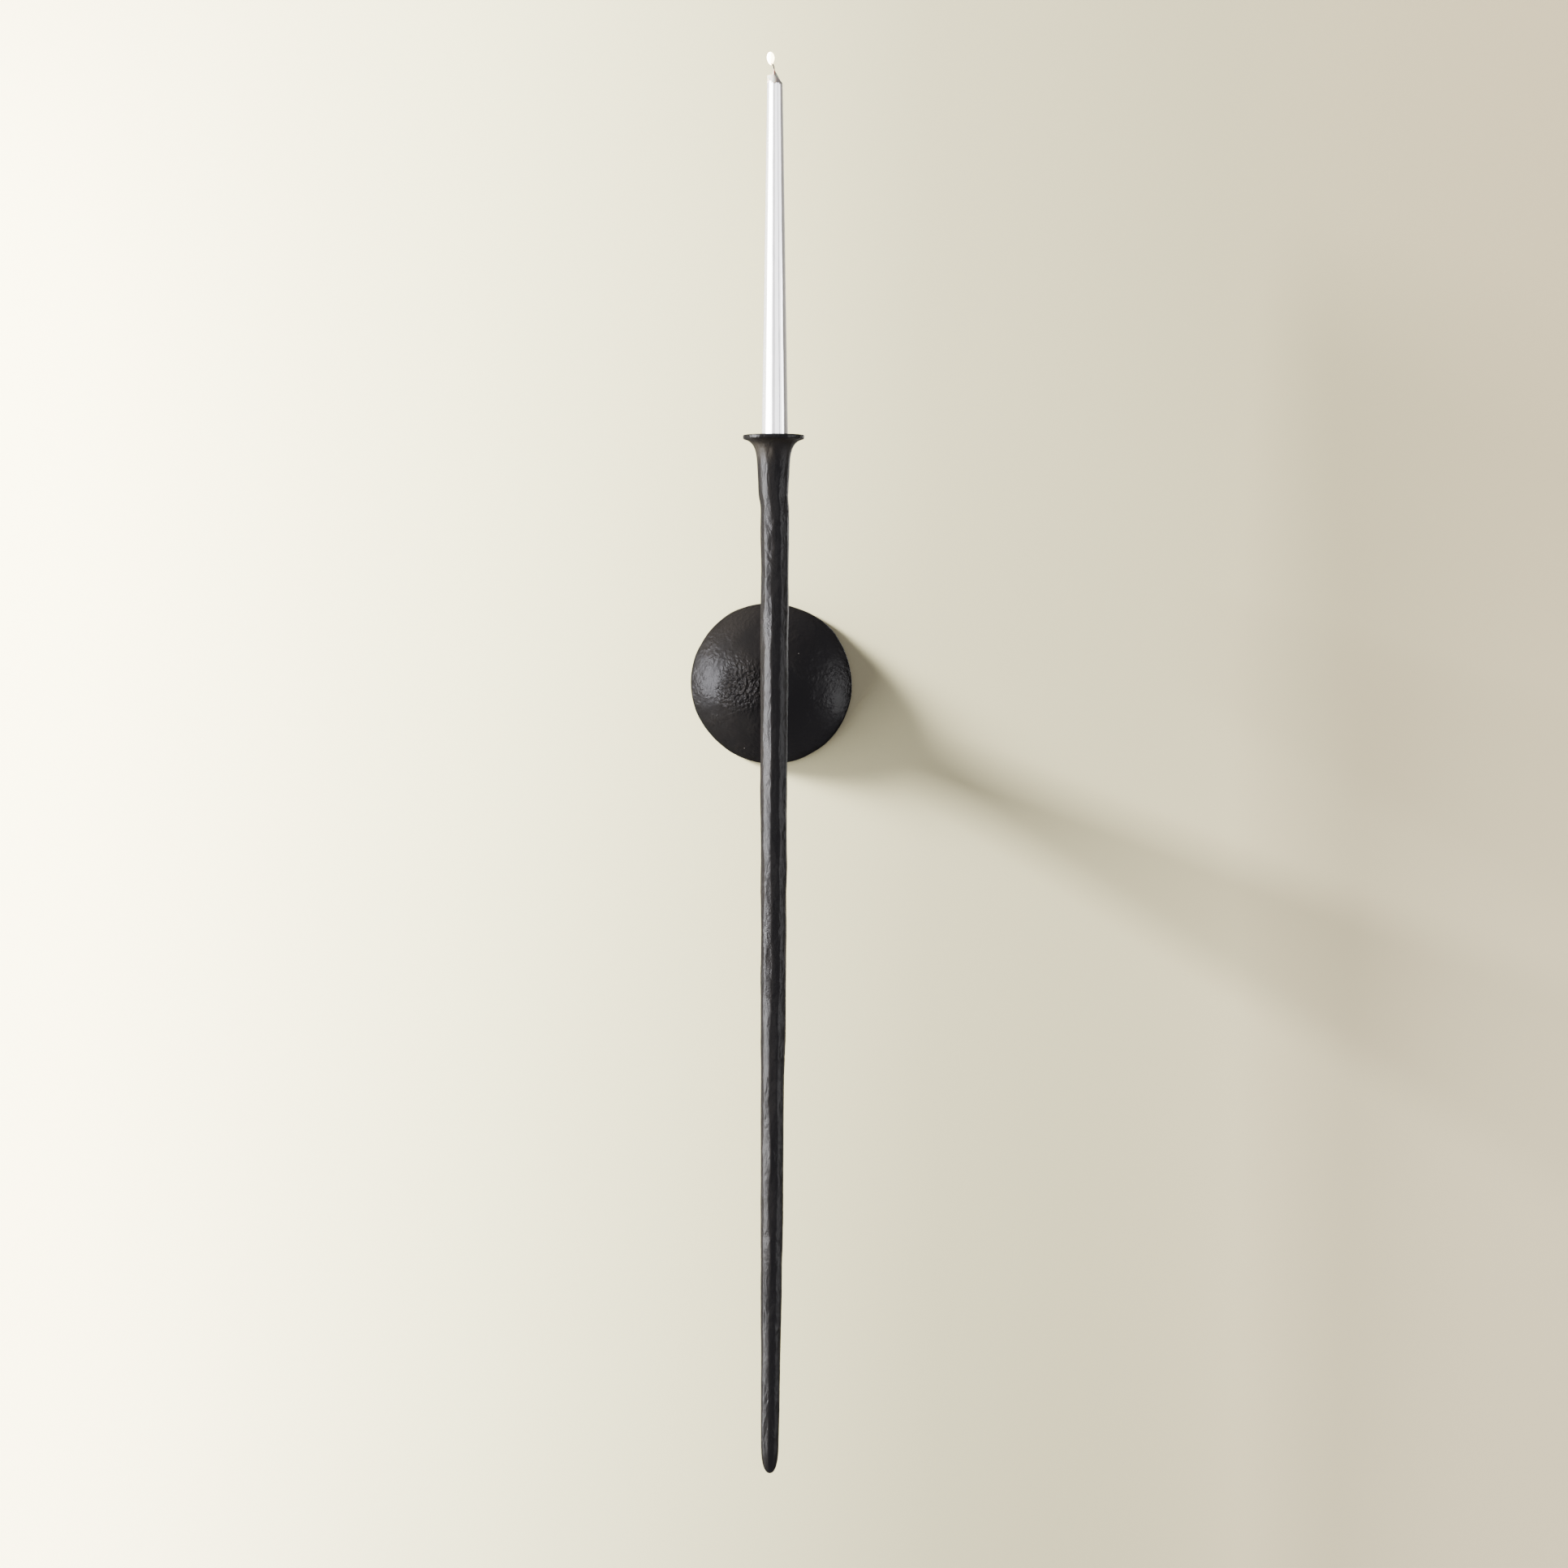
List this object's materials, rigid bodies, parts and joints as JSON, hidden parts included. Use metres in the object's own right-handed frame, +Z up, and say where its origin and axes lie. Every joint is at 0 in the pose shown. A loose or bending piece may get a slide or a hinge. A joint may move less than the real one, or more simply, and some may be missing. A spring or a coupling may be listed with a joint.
{
  "type": "wall sconce candle holder",
  "caption": "Wall sconce for a taper candle: a long tapering forged iron stem with a flared cup, held off the wall by an arm on a domed round back plate.",
  "frame": {"origin": "middle of the wall bracket's back face, on the wall's surface and level with the arm's axis", "axes": "+Z up along the stem, +Y into the wall, +X to the right for someone facing the wall"},
  "size_m": [0.1304, 0.1345, 1.1207],
  "materials": {
    "forged_iron": "hand-hammered black iron, satin wax finish",
    "cast_dome_iron": "black iron, satin to gloss, fine orange-peel texture",
    "black_sheet_steel": "matt black powder coat",
    "zinc_plated_steel": "bright zinc plate",
    "silver_candle_wax": "wax with a satin silver metallic skin, bare pale wax at the tip",
    "wick_cotton": "charred braided cotton",
    "candle_flame": "the light of a small candle flame, not a solid"
  },
  "bodies": {
    "bracket": {"wall_bracket": "black_sheet_steel"},
    "sconce": {"dome_back_plate": "cast_dome_iron", "arm": "forged_iron", "stem": "forged_iron", "hanger_strap": "black_sheet_steel", "tie_stud": "zinc_plated_steel", "locating_pin": "zinc_plated_steel", "flat_washer": "zinc_plated_steel", "lock_washer": "zinc_plated_steel", "stud_nut": "zinc_plated_steel"},
    "candle": {"candle": "silver_candle_wax", "wick": "wick_cotton"}
  },
  "joints": [
    {"name": "sconce_lift_off", "type": "slide", "parent": "bracket", "child": "sconce", "axis": [0, 0, 1], "range_m": [0, 0.0085]},
    {"name": "candle_lift_out", "type": "slide", "parent": "sconce", "child": "candle", "axis": [0, 0, 1], "range_m": [0, 0.03]}
  ]
}
